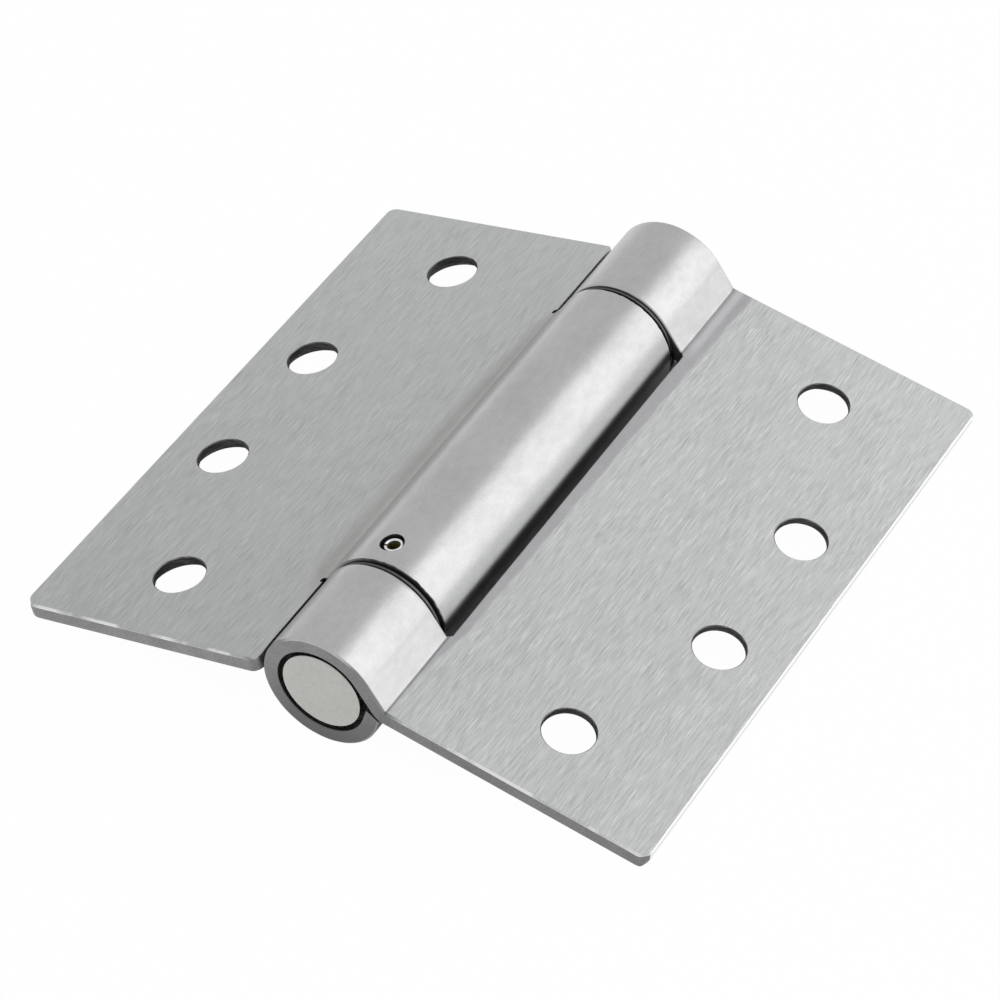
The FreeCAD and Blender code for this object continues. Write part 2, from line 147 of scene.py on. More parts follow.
class Section:
    """The bent sheet of a leaf: turns a place in its flat blank into a place in its section.

    A run is measured on the back face, from the outer edge of the plate.  A depth is below it.
    """

    def __init__(self, radius, cut_reach):
        normal = polar(1, LEAVING)
        rise = BACK_FACE_RISE + radius
        reach = (KNUCKLE_RADIUS + radius - rise * normal.y) / normal.x
        self.radius = radius
        self.normal = normal
        self.bend = Vector((reach, rise))
        self.up = polar(1, LEAVING + 90)
        line_start = self.bend - normal * radius
        line_run = (polar(KNUCKLE_RADIUS, LEAVING) - line_start).dot(self.up)
        under_radius = radius + SHEET
        under = rise - math.sqrt(under_radius ** 2 - (reach - KNUCKLE_RADIUS) ** 2)
        self.seam = Vector((KNUCKLE_RADIUS, under - SEAM_GAP))
        self.plate_end = LEAF_REACH - reach
        self.bend_end = self.plate_end + radius * math.radians(90 - LEAVING)
        self.line_end = self.bend_end + line_run
        turn = 360 - ROLL_TAIL_ANGLE - LEAVING
        self.roll_end = self.line_end + KNUCKLE_RADIUS * math.radians(turn)
        self.end = self.roll_end + self.tail_run(0.0)
        self.cut_reach = cut_reach
        self.cut = self.cut_run(0.0)

    def tail_run(self, depth):
        """Length of the straight tail of the roll at a depth, up to its sloping cut."""
        way = polar(1, 90 - ROLL_TAIL_ANGLE)
        cut_way = polar(1, -SEAM_SLOPE)
        gap = self.seam - polar(KNUCKLE_RADIUS - depth, -ROLL_TAIL_ANGLE)
        return (gap.x * cut_way.y - gap.y * cut_way.x) / (way.x * cut_way.y - way.y * cut_way.x)

    def cut_run(self, depth):
        """Run at which the sheet has the reach of the cut beside the knuckles, at a depth."""
        short = self.bend.x - self.cut_reach
        if short <= 0:
            return self.plate_end + short
        return self.plate_end + self.radius * math.asin(short / (self.radius + depth))

    def slid(self, run, depth):
        """Slides places beside the cut along the sheet, so that the cut goes straight through it."""
        width = 3.0
        share = max(0.0, 1 - abs(run - self.cut) / width)
        return run + share * (self.cut_run(depth) - self.cut)

    def place(self, run, depth):
        run = self.slid(run, depth)
        if run <= self.plate_end:
            return Vector((LEAF_REACH - run, BACK_FACE_RISE - depth))
        if run <= self.bend_end:
            turn = math.degrees((run - self.plate_end) / self.radius)
            return self.bend + polar(self.radius + depth, 270 - turn)
        if run <= self.line_end:
            return self.bend - self.normal * (self.radius + depth) + self.up * (run - self.bend_end)
        if run <= self.roll_end:
            turn = math.degrees((run - self.line_end) / KNUCKLE_RADIUS)
            return polar(KNUCKLE_RADIUS - depth, LEAVING + turn)
        stretch = self.tail_run(depth) / self.tail_run(0.0)
        way = polar(1, 90 - ROLL_TAIL_ANGLE)
        return polar(KNUCKLE_RADIUS - depth, -ROLL_TAIL_ANGLE) + way * ((run - self.roll_end) * stretch)

    def bend_runs(self):
        """Runs at which the blank is divided so that it can bend."""
        runs = [self.plate_end, self.bend_end, self.line_end, self.roll_end]
        for start, stop, radius, step in (
            (self.plate_end, self.bend_end, self.radius, BEND_STEP),
            (self.line_end, self.roll_end, KNUCKLE_RADIUS, ROLL_STEP),
        ):
            count = round((stop - start) / (radius * math.radians(step)))
            runs += [start + (stop - start) * k / count for k in range(1, count)]
        return runs


def laid(reach, along, rise, side):
    """From a leaf's own frame in millimetres to the hinge as it lies, in metres."""
    out = reach * math.cos(SLOPE) + rise * math.sin(SLOPE)
    up = rise * math.cos(SLOPE) - reach * math.sin(SLOPE) + KNUCKLE_RADIUS
    return Vector((side * out, along, up)) * MM


def rounded(corners):
    """Outline through (run, along, radius) corners, all square, with an arc at each that has a radius."""
    points = []
    for before, corner, after in zip(corners[-1:] + corners[:-1], corners, corners[1:] + corners[:1]):
        tip, radius = Vector(corner[:2]), corner[2]
        if not radius:
            points.append(tip)
            continue
        back = (Vector(before[:2]) - tip).normalized()
        on = (Vector(after[:2]) - tip).normalized()
        centre = tip + (back + on) * radius
        steps = 8
        for k in range(steps + 1):
            turn = math.pi / 2 * k / steps
            points.append(centre - (on * math.cos(turn) + back * math.sin(turn)) * radius)
    return points


def round_corner(centre, radius, start, stop, steps=5):
    """Points of an arc in a profile, as (radius, height), between two angles in degrees."""
    turns = [math.radians(start + (stop - start) * k / steps) for k in range(steps + 1)]
    return [(centre[0] + radius * math.cos(t), centre[1] + radius * math.sin(t)) for t in turns]


def scaled(profile):
    return [(radius * MM, height * MM) for radius, height in profile]


# Shaping

def divide(mesh, place, normal):
    geometry = mesh.verts[:] + mesh.edges[:] + mesh.faces[:]
    bmesh.ops.bisect_plane(mesh, geom=geometry, dist=1e-5, plane_co=place, plane_no=normal)


def blank(section, corners, plain_edge):
    """Flat sheet with its rims rounded, its back face at height 0 and divided where it bends."""
    mesh = bmesh.new()
    top = mesh.faces.new([mesh.verts.new((p.x, p.y, 0)) for p in rounded(corners)])
    if top.normal.z < 0:
        top.normal_flip()
    under = bmesh.ops.extrude_face_region(mesh, geom=[top])
    moved = [v for v in under["geom"] if isinstance(v, bmesh.types.BMVert)]
    bmesh.ops.translate(mesh, verts=moved, vec=(0, 0, -SHEET))
    bmesh.ops.recalc_face_normals(mesh, faces=mesh.faces)
    rims = [e for e in mesh.edges if abs(e.verts[0].co.z - e.verts[1].co.z) < 1e-6]
    broad = [e for e in rims if e.verts[0].co.z > -1e-6 and not plain_edge(e.verts[0].co, e.verts[1].co)]
    bmesh.ops.bevel(mesh, geom=broad, offset=RIM_ROUND, segments=4, profile=0.5, affect="EDGES")
    low = [e for e in mesh.edges if all(abs(v.co.z + SHEET) < 1e-6 for v in e.verts)]
    bmesh.ops.bevel(mesh, geom=low, offset=FINE_ROUND, segments=2, profile=0.5, affect="EDGES")
    for face in mesh.faces:
        face.normal_update()
        face.material_index = CUT if -LEVEL < face.normal.z < UPRIGHT else SKIN
    for run in section.bend_runs():
        divide(mesh, (run, 0, 0), (1, 0, 0))
    for k in range(1, round(LEAF_HEIGHT / WEAR_STEP)):
        divide(mesh, (0, k * WEAR_STEP - HALF_HEIGHT, 0), (0, 1, 0))
    for depth in TAPER_DEPTHS:
        divide(mesh, (0, 0, -depth), (0, 0, 1))
    taper_outer_edge(mesh)
    return mesh


def taper_outer_edge(mesh):
    """Draws the lower part of the outer edge in, as a sheared edge has it, and lets it take the skin."""
    for face in mesh.faces:
        if face.calc_center_median().x < 0.05:
            face.material_index = SKIN
    for vert in mesh.verts:
        low = max(0.0, (-vert.co.z - OUTER_TAPER_START) / (SHEET - OUTER_TAPER_START))
        vert.co.x += OUTER_TAPER * max(0.0, 1 - vert.co.x / OUTER_TAPER_WIDTH) * low ** 2


def wear(mesh, nicks):
    """Takes a little off the rounded rims, unevenly, and more at each nick, given as (run, along, size)."""
    mesh.normal_update()
    for vert in mesh.verts:
        if not any(UPRIGHT < face.normal.z < LEVEL for face in vert.link_faces):
            continue
        depth = WEAR * (0.5 + 0.5 * noise.noise(vert.co * 0.4)) * (0.6 + 0.4 * noise.noise(vert.co * 1.7))
        for run, along, size in nicks:
            gap = math.hypot(vert.co.x - run, vert.co.y - along)
            depth += NICK_DEPTH * size * max(0.0, 1 - gap / size)
        vert.co -= vert.normal * depth


def tear(mesh, from_run, half_length):
    """Makes the two ends of the barrel uneven, always inwards, and more towards the end of its roll."""
    width = 1.0
    for vert in mesh.verts:
        run, along = vert.co.xy
        if run <= from_run or abs(along) <= half_length - width:
            continue
        share = (abs(along) - half_length + width) * min(1.0, (run - from_run) / 12.0)
        large = noise.noise((run * 0.35, along, 0.0))
        small = noise.noise((run * 1.4, along, 5.0))
        rough = max(0.0, 0.5 + 0.35 * large + 0.5 * small)
        slant = BARREL_SLANT * min(1.0, (run - from_run) / 16.0) if along < 0 else 0.0
        vert.co.y -= math.copysign(share * (slant + TORN_EDGE * rough), along)


def bend_blank(mesh, section, side):
    for vert in mesh.verts:
        run, along, height = vert.co
        spot = section.place(run, -height)
        vert.co = laid(spot.x, along, spot.y, side)
    bmesh.ops.recalc_face_normals(mesh, faces=mesh.faces)


def lathe(profile, foot, way, steps, hollow=False):
    """Turned solid from (radius, height) points, along a way.  A hollow one has a closed profile."""
    mesh = bmesh.new()
    rings = []
    for radius, height in profile:
        angles = [2 * math.pi * k / steps for k in range(steps)] if radius else [0.0]
        rings.append([mesh.verts.new((radius * math.cos(a), radius * math.sin(a), height)) for a in angles])
    for low, high in zip(rings, rings[1:] + (rings[:1] if hollow else [])):
        for k in range(steps):
            on = k + 1
            corners = [low[k % len(low)], low[on % len(low)], high[on % len(high)], high[k % len(high)]]
            mesh.faces.new(list(dict.fromkeys(corners)))
    for ring in (rings[0], rings[-1]):
        if len(ring) > 1 and not hollow:
            mesh.faces.new(ring)
    bmesh.ops.recalc_face_normals(mesh, faces=mesh.faces)
    turn = way.to_track_quat("Z", "Y").to_matrix().to_4x4()
    bmesh.ops.transform(mesh, matrix=Matrix.Translation(foot) @ turn, verts=mesh.verts)
    return mesh


def box(low, high, turn, foot):
    """Block between two corners, turned and then moved by its foot."""
    mesh = bmesh.new()
    bmesh.ops.create_cube(mesh, size=1.0)
    middle = Matrix.Translation((Vector(low) + Vector(high)) / 2)
    span = Matrix.Diagonal((*(Vector(high) - Vector(low)), 1))
    place = Matrix.Translation(foot) @ turn.to_4x4() @ middle @ span
    bmesh.ops.transform(mesh, matrix=place, verts=mesh.verts)
    return mesh


def to_object(name, mesh, *materials):
    data = bpy.data.meshes.new(name)
    mesh.to_mesh(data)
    mesh.free()
    piece = bpy.data.objects.new(name, data)
    for material in materials:
        data.materials.append(material)
    bpy.context.scene.collection.objects.link(piece)
    return piece


def carve(piece, cutters):
    """Cuts away the cutters, whose walls take the last material."""
    joined = bmesh.new()
    for cutter in cutters:
        data = bpy.data.meshes.new("cutter")
        cutter.to_mesh(data)
        joined.from_mesh(data)
        bpy.data.meshes.remove(data)
        cutter.free()
    for face in joined.faces:
        face.material_index = len(piece.data.materials) - 1
    tool = to_object("cutter", joined, *piece.data.materials)
    cut = piece.modifiers.new("carve", "BOOLEAN")
    cut.operation = "DIFFERENCE"
    cut.solver = "EXACT"
    cut.object = tool
    bpy.context.view_layer.update()
    carved = bpy.data.meshes.new_from_object(piece.evaluated_get(bpy.context.evaluated_depsgraph_get()))
    piece.modifiers.clear()
    old = piece.data
    piece.data = carved
    carved.name = piece.name
    bpy.data.meshes.remove(old)
    bpy.data.objects.remove(tool)


def smooth(piece):
    piece.data.shade_smooth()
    piece.data.set_sharp_from_angle(angle=math.radians(SHARP_ANGLE))
    weigh = piece.modifiers.new("weighted_normals", "WEIGHTED_NORMAL")
    weigh.keep_sharp = True
    weigh.weight = 100


# Pieces

def screw_cutters(side):
    """Screw holes with a fine rim at the back face and the countersink under it."""
    spare = 1.0
    widening = math.tan(math.radians(COUNTERSINK_ANGLE / 2))
    depth = SHEET - SCREW_HOLE_LAND
    profile = scaled([
        (SCREW_HOLE_RADIUS + (depth + spare) * widening, INNER_RISE - spare),
        (SCREW_HOLE_RADIUS, INNER_RISE + depth),
        (SCREW_HOLE_RADIUS, BACK_FACE_RISE - HOLE_RIM),
        (SCREW_HOLE_RADIUS + HOLE_RIM + spare, BACK_FACE_RISE + spare),
    ])
    way = laid(0, 0, 1, side) - laid(0, 0, 0, side)
    cutters = []
    for reach, span in (END_HOLES, MIDDLE_HOLES):
        for end in (-1, 1):
            cutters.append(lathe(profile, laid(reach, end * span / 2, 0, side), way, 96))
    return cutters


def round_cutter(radius, foot, way, steps=48):
    return lathe(scaled([(radius, 0), (radius, 2 * KNUCKLE_RADIUS)]), foot, way, steps)


def radial_cutter(radius, along, angle, side):
    """Hole through one wall of the roll, at an angle from the back face normal away from the plate."""
    way = polar(1, 90 + angle)
    foot = laid(0, along, 0, side)
    return round_cutter(radius, foot, laid(way.x, along, way.y, side) - foot)


def relief_cutters():
    """Round notches at the inner ends of the two slits beside the barrel."""
    up = laid(0, 0, 1, -1) - laid(0, 0, 0, -1)
    feet = [laid(SLIT_REACH + SLIT_RELIEF_SHIFT, end * HALF_BARREL, 0, -1) for end in (-1, 1)]
    return [round_cutter(SLIT_RELIEF_RADIUS, foot, up, 32) for foot in feet]


def make_end_knuckle_leaf(skin, cut, painted_shade, bore):
    section = Section(KNUCKLE_BEND_RADIUS, CUTOUT_REACH)
    radius, inner = CORNER_RADIUS, CUTOUT_CORNER_RADIUS
    corners = [
        (0, -HALF_HEIGHT, radius), (section.end, -HALF_HEIGHT, 0), (section.end, -HALF_CUTOUT, 0),
        (section.cut, -HALF_CUTOUT, inner), (section.cut, HALF_CUTOUT, inner), (section.end, HALF_CUTOUT, 0),
        (section.end, HALF_HEIGHT, 0), (0, HALF_HEIGHT, radius),
    ]

    def plain_edge(a, b):
        in_cutout = min(a.x, b.x) > section.cut - 1e-6 and max(abs(a.y), abs(b.y)) < HALF_CUTOUT + 1e-6
        return in_cutout or min(a.x, b.x) > section.end - 1e-6

    mesh = blank(section, corners, plain_edge)
    wear(mesh, [(0.2, -50.4, 1.3), (23.0, -50.8, 0.6), (0.0, 18.0, 0.7)])
    # painted shade: the cut walls of the cutout beside the barrel take the near-black material
    margin = 0.6
    for face in mesh.faces:
        middle = face.calc_center_median()
        in_cutout = middle.x > section.cut - margin and abs(middle.y) < HALF_CUTOUT - margin
        if face.material_index == CUT and in_cutout:
            face.material_index = PAINTED_SHADE
    bend_blank(mesh, section, 1)
    piece = to_object("rolled_leaf_with_end_knuckles", mesh, skin, cut, painted_shade, bore)
    carve(piece, screw_cutters(1) + [radial_cutter(*LOCK_HOLE, 1)])
    smooth(piece)
    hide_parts("end_knuckle_leaf")
    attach(piece, "end_knuckle_side")


def make_barrel_leaf(skin, cut, bore):
    section = Section(BARREL_BEND_RADIUS, SLIT_REACH)
    radius = CORNER_RADIUS
    trimmed = HALF_BARREL - BARREL_TRIM
    corners = [
        (0, -HALF_HEIGHT, WORN_CORNER), (section.cut, -HALF_HEIGHT, radius), (section.cut, -trimmed, 0),
        (section.end, -trimmed, 0), (section.end, trimmed, 0), (section.cut, trimmed, 0),
        (section.cut, HALF_HEIGHT, radius), (0, HALF_HEIGHT, radius),
    ]

    def plain_edge(a, b):
        along_slit = max(abs(a.x - section.cut), abs(b.x - section.cut)) < 1e-6
        return along_slit or min(a.x, b.x) > section.end - 1e-6

    mesh = blank(section, corners, plain_edge)
    wear(mesh, [(17.2, -50.8, 0.8), (41.0, -50.5, 0.9), (0.3, -50.4, 1.1)])
    tear(mesh, section.line_end, trimmed)
    bend_blank(mesh, section, -1)
    piece = to_object("rolled_leaf_with_centre_barrel", mesh, skin, cut, bore)
    carve(piece, screw_cutters(-1) + [radial_cutter(*PIN_HOLE, -1)] + relief_cutters())
    smooth(piece)
    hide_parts("barrel_leaf")
    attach(piece, "barrel_side")


def slotted_pin_line():
    """Foot of the slotted pin and the way it stands across the barrel."""
    along, angle = SLOTTED_PIN_PLACE
    way = polar(1, 90 + angle)
    start = SEAT_RADIUS - SLOTTED_PIN_DEPTH
    return laid(way.x * start, along, way.y * start, -1), laid(way.x, 0, way.y, -1) - laid(0, 0, 0, -1)


def make_spindle(metal):
    """Spindle with a slightly domed end face and a rounded rim, cut for its pin and for the spring."""
    face = -HALF_HEIGHT + SPINDLE_RECESS
    collar_start = -HALF_BARREL + COLLAR_INSET
    collar_end = collar_start + COLLAR_LENGTH
    tip = collar_end + SPIGOT_LENGTH
    flat = JOURNAL_RADIUS - SPINDLE_RIM
    dome = [(flat * k / 6, face + FACE_DOME * (k / 6) ** 2) for k in range(6)]
    edge = round_corner((flat, face + FACE_DOME + SPINDLE_RIM), SPINDLE_RIM, -90, 0)
    rest = [
        (JOURNAL_RADIUS, collar_start), (SEAT_RADIUS, collar_start), (SEAT_RADIUS, collar_end),
        (SPIGOT_RADIUS, collar_end), (SPIGOT_RADIUS, tip), (0, tip),
    ]
    piece = to_object("domed_spindle", lathe(scaled(dome + edge + rest), AXIS, ALONG, 128), metal)
    foot, out = slotted_pin_line()
    hole_radius = SLOTTED_PIN_RADIUS + PIN_SEAT
    hole = lathe(scaled([(hole_radius, 0), (hole_radius, SEAT_RADIUS)]), foot, out, 48)
    half = SPIGOT_SLOT / 2 * MM
    reach = SEAT_RADIUS * MM
    low = (-half, (collar_end + SLOT_START) * MM, -reach)
    slot = box(low, (half, (tip + 1) * MM, reach), Matrix.Rotation(SLOPE, 3, "Y"), AXIS)
    carve(piece, [hole, slot])
    smooth(piece)
    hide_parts("pivot_spindle")
    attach(piece, "barrel_side")


def make_slotted_pin(metal):
    """Slotted spring pin with rounded rims."""
    outer, inner = SLOTTED_PIN_RADIUS, SLOTTED_PIN_RADIUS - SLOTTED_PIN_WALL
    length = KNUCKLE_RADIUS - SLOTTED_PIN_SINK - SEAT_RADIUS + SLOTTED_PIN_DEPTH
    rim = SLOTTED_PIN_WALL / 2 - 0.01
    middle = (outer + inner) / 2
    profile = [(inner, 0), (outer, 0)] + round_corner((middle, length - rim), rim, 0, 180, 8)
    foot, out = slotted_pin_line()
    out.normalize()
    piece = to_object("rounded_slotted_pin", lathe(scaled(profile), foot, out, 64, True), metal)
    across = ALONG.cross(out)
    turn = Matrix((across, ALONG, out)).transposed()
    turn = turn @ Matrix.Rotation(math.radians(SLOTTED_PIN_TURN), 3, "Z")
    half = SLOTTED_PIN_SLIT / 2 * MM
    slit = box((-2 * outer * MM, -half, -MM), (0, half, (length + 1) * MM), turn, foot)
    carve(piece, [slit])
    smooth(piece)
    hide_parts("spindle_pin")
    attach(piece, "barrel_side")


def make_washer(end, metal):
    outer, inner, thickness, play = WASHER
    start = HALF_BARREL + play
    edge = WASHER_RIM
    profile = [
        (inner, start + edge), (inner + edge, start), (outer - edge, start), (outer, start + edge),
        (outer, start + thickness - edge), (outer - edge, start + thickness),
        (inner + edge, start + thickness), (inner, start + thickness - edge),
    ]
    name = "near" if end < 0 else "far"
    mesh = lathe(scaled([(radius, end * height) for radius, height in profile]), AXIS, ALONG, 128, True)
    piece = to_object(name + "_dull_washer", mesh, metal)
    smooth(piece)
    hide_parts(name + "_thrust_washer")
    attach(piece, "end_knuckle_side")


# Camera
CAMERA_PLACE = Vector((236.45, -367.62, 419.04)) * MM
CAMERA_RIGHT = Vector((0.859552, 0.509379, -0.041286))
CAMERA_FORWARD = Vector((-0.393764, 0.608625, -0.688858))
CAMERA_LENS = 147.34
SENSOR_WIDTH = 36.0


def make_camera():
    data = bpy.data.cameras.new("camera")
    data.sensor_width = SENSOR_WIDTH
    data.sensor_height = SENSOR_WIDTH
    data.sensor_fit = "AUTO"
    data.lens = CAMERA_LENS
    data.clip_start = 0.01
    camera = bpy.data.objects.new("camera", data)
    back = -CAMERA_FORWARD.normalized()
    right = (CAMERA_RIGHT - CAMERA_RIGHT.dot(back) * back).normalized()
    up = back.cross(right)
    turn = Matrix((right, up, back)).transposed()
    camera.matrix_world = Matrix.Translation(CAMERA_PLACE) @ turn.to_4x4()
    bpy.context.scene.collection.objects.link(camera)
    bpy.context.scene.camera = camera


# Greys, tints and roughness
BRUSHED_ROUGHNESS = 0.42
SMOOTH_ROUGHNESS = 0.31
SMOOTH_GREYS = (0.465, 0.53)
# Grey of the painted highlight on the outer and near edges
PAINTED_HIGHLIGHT_GREY = 0.85
# Grey of the painted shade on the rim round the near knuckle
PAINTED_RIM_SHADE = 0.1
# Near black of the painted shade at both faces of the washers
WASHER_PAINTED_SHADE = 0.012
UNTINTED = (1.0, 1.0, 1.0)
COOL = (0.982, 1.0, 1.0)
BLUISH = (0.99, 0.985, 1.02)
WARM = (1.01, 1.0, 0.985)
ZINC = (0.985, 1.0, 0.95)
DARK_OLIVE = (0.5, 0.45, 0.1, 1.0)
PALE_YELLOW = (0.9, 0.82, 0.3, 1.0)

# Textures of the sheet: waves per millimetre across, along and across the barrel, detail, roughness, shift
DRIFT = ((0.06, 0.03, 0.06), 2.0, 0.5, 61.0)
WAVER = ((0.3, 0.12, 0.3), 3.0, 0.6, 3.0)
STREAKS = ((4.2, 0.24, 4.2), 4.0, 0.6, 0.0)
FINE_STREAKS = ((8.0, 0.5, 8.0), 3.0, 0.6, 11.0)
SCRATCHES = ((4.6, 0.3, 4.6), 1.0, 0.4, 23.0)
DENTS = ((4.6, 0.3, 4.6), 1.0, 0.4, 37.0)
CLOUDS = ((0.08, 0.03, 0.08), 3.0, 0.5, 5.0)
BUSY_PLACES = ((0.4, 0.14, 0.4), 3.0, 0.6, 71.0)
MOTTLE = ((0.9, 0.5, 0.9), 4.0, 0.6, 17.0)
PATCHES = ((0.16, 0.1, 0.16), 3.0, 0.5, 29.0)
SAND = ((4.6, 3.0, 4.6), 2.0, 0.6, 41.0)
# HIGHLIGHT_BREAKS breaks up the painted highlight on the near edge
HIGHLIGHT_BREAKS = ((0.11, 0.11, 0.11), 3.0, 0.5, 53.0)
HAZE = ((0.25, 0.25, 0.25), 3.0, 0.5, 7.0)
BORED_RINGS = ((0.35, 0.35, 7.0), 3.0, 0.6)
GRAIN = (4.0, 0.65)                 # detail and roughness alone

# Places of the marks, in millimetres
BORDER_WAVER = 0.9
BORDER_SHIFT = -0.42
ROLL_TO_PLATE = (11.0, 13.0)        # reach
KNUCKLE_TOP = (16.5, 17.8)          # height
FAR_PART = (33.0, 37.0)             # along the barrel
PIN_TINT_TOP = (17.5, 17.95)             # height
WASHER_SHIFT = 0.165                # along the barrel
WASHER_MIDDLE = 33.45
WASHER_LIT = (0.27, 0.39)

# Spread of the brushing's values, from its darkest to its brightest grey
LIVELY = (0.36, 0.76)

# How the sheet of a leaf looks.  The crease has its reach, softness, how much painted shade darkens it and
# how much duller it is, and how much a painted highlight brightens beside it at the far end.  The borders are
# (along, reach) places between which the start of the brushing drifts.  The painted light falloff runs along
# the leaf from its near to its far end, darker at the near end and brighter at the far end.
SheetLook = namedtuple("SheetLook", (
    "side", "crease", "crease_softness", "crease_dark", "crease_dull", "far_streak",
    "borders", "border_softness", "band_greys", "band_tint", "brushed_greys", "falloff"))
KNUCKLE_LEAF_LOOK = SheetLook(
    1, 10.25, 0.12, 0.45, 0.0, 0.25,
    ((-42, 10.5), (-32, 12.05), (-10, 12.25), (50, 13.35)), 0.45,
    (0.45, 0.51), BLUISH, (0.475, 0.74), (-0.03, 0.04))
BARREL_LEAF_LOOK = SheetLook(
    -1, 9.0, 0.7, 0.0, 0.22, 0.0,
    ((-37, 9.5), (-31, 13.0), (5, 13.0), (29, 11.8), (36, 10.0)), 2.2,
    (0.362, 0.415), WARM, (0.43, 0.602), (-0.05, 0.09))


class Nodes:
    """Short way to add and join the nodes of one tree."""

    MIX_LOW, MIX_HIGH, MIXED = 6, 7, 2      # colour sockets of the mix node

    def __init__(self, tree):
        self.tree = tree
        tree.nodes.clear()

    def put(self, value, socket):
        if isinstance(value, bpy.types.NodeSocket):
            self.tree.links.new(value, socket)
        else:
            socket.default_value = value

    def add(self, kind, inputs=None, **settings):
        node = self.tree.nodes.new(kind)
        for name, value in settings.items():
            setattr(node, name, value)
        for name, value in (inputs or {}).items():
            self.put(value, node.inputs[name])
        return node

    def math(self, operation, *values):
        return self.add("ShaderNodeMath", dict(enumerate(values)), operation=operation).outputs[0]

    def plus(self, first, second):
        return self.math("ADD", first, second)

    def less(self, first, second):
        return self.math("SUBTRACT", first, second)

    def times(self, first, *others):
        for other in others:
            first = self.math("MULTIPLY", first, other)
        return first

    def size(self, value):
        return self.math("ABSOLUTE", value)

    def ramp(self, value, low, high, to_low=0.0, to_high=1.0):
        inputs = {"Value": value, "From Min": low, "From Max": high, "To Min": to_low, "To Max": to_high}
        return self.add("ShaderNodeMapRange", inputs).outputs["Result"]

    def between(self, share, low, high):
        return self.ramp(share, 0.0, 1.0, low, high)

    def vector(self, operation, first, second, result="Vector"):
        return self.add("ShaderNodeVectorMath", {0: first, 1: second}, operation=operation).outputs[result]

    def mix(self, share, low, high):
        node = self.add("ShaderNodeMix", {"Factor": share}, data_type="RGBA")
        self.put(low, node.inputs[self.MIX_LOW])
        self.put(high, node.inputs[self.MIX_HIGH])
        return node.outputs[self.MIXED]


def grey(value, tint=UNTINTED):
    return (value * tint[0], value * tint[1], value * tint[2], 1.0)


class Surface:
    def __init__(self, name):
        self.material = bpy.data.materials.new(name)
        self.material.use_nodes = True
        self.nodes = Nodes(self.material.node_tree)
        place = self.nodes.add("ShaderNodeTexCoord").outputs["Object"]
        self.place = self.nodes.add("ShaderNodeMapping", {"Vector": place, "Scale": (1 / MM,) * 3}).outputs[0]
        parts = self.nodes.add("ShaderNodeSeparateXYZ", {"Vector": self.place}).outputs
        self.across, self.along, self.height = parts["X"], parts["Y"], parts["Z"]

    def texture(self, scale, detail, roughness, shift=0.0, place=None):
        """Noise with its own waves per millimetre across, along and across the barrel."""
        inputs = {"Vector": place or self.place, "Scale": scale, "Location": (shift, shift, shift)}
        moved = self.nodes.add("ShaderNodeMapping", inputs).outputs[0]
        inputs = {"Vector": moved, "Scale": 1.0, "Detail": detail, "Roughness": roughness}
        return self.nodes.add("ShaderNodeTexNoise", inputs).outputs["Fac"]

    def hazy(self, grain):
        """Share of the lighter grey, from a grain and a haze."""
        return self.nodes.ramp(self.nodes.plus(grain, self.nodes.times(self.texture(*HAZE), 0.5)), 0.5, 1.0)

    def finish(self, colour, gloss, relief, depth, metallic=1.0):
        """Joins the shader.  The depth of the relief is in millimetres."""
        bump = self.nodes.add("ShaderNodeBump", {"Height": relief, "Strength": 1.0, "Distance": depth * MM})
        shader = self.nodes.add("ShaderNodeBsdfPrincipled", {
            "Base Color": colour, "Metallic": metallic, "Roughness": gloss, "Normal": bump.outputs[0]})
        out = self.nodes.add("ShaderNodeOutputMaterial")
        self.nodes.tree.links.new(shader.outputs[0], out.inputs["Surface"])
        return self.material


def plain_surface(name, greys, roughness, waves, depth, tint=UNTINTED, metallic=1.0):
    """Even grain, with a little unevenness in colour and gloss."""
    surface = Surface(name)
    nodes = surface.nodes
    grain = surface.texture((waves, waves, waves), *GRAIN)
    share = surface.hazy(grain)
    colour = nodes.mix(share, grey(greys[0], tint), grey(greys[1], tint))
    gloss = nodes.between(share, roughness + 0.06, roughness - 0.06)
    return surface.finish(colour, gloss, grain, depth, metallic)


def cut_surface(name, low, high):
    """Sheared steel, with painted shade low on the end faces of the rolls and towards +X."""
    surface = Surface(name)
    nodes = surface.nodes
    grain = surface.texture((2.5, 2.5, 2.5), *GRAIN)
    share = surface.hazy(grain)
    beside_roll = nodes.ramp(nodes.size(surface.across), 9.5, 12.0)
    # painted shade: darker low near the rolls, and darker towards +X
    lit = nodes.math("MAXIMUM", nodes.ramp(surface.height, 0.5, 12.0, 0.0, 0.9), beside_roll)
    lit = nodes.times(lit, nodes.ramp(surface.across, -10.0, 15.0, 1.0, 0.62))
    colour = nodes.mix(lit, grey(low * 0.6), nodes.mix(share, grey(low), grey(high)))
    return surface.finish(colour, nodes.between(share, 0.52, 0.4), grain, 0.02)


def washer_surface(name, low, high):
    """Dull steel with painted shade at both faces, so that only a narrow lit ring of its edge shows."""
    surface = Surface(name)
    nodes = surface.nodes
    grain = surface.texture((2.5, 6.0, 2.5), *GRAIN)
    off = nodes.size(nodes.less(surface.along, WASHER_SHIFT))
    off = nodes.size(nodes.less(off, WASHER_MIDDLE))
    # painted shade: near black everywhere but a narrow lit ring
    lit = nodes.ramp(nodes.plus(off, nodes.times(grain, 0.12)), *WASHER_LIT, 1.0, 0.0)
    steel = nodes.mix(nodes.ramp(grain, 0.3, 0.7), grey(low), grey(high))
    return surface.finish(nodes.mix(lit, grey(WASHER_PAINTED_SHADE), steel), nodes.between(lit, 0.7, 0.45), grain, 0.02)


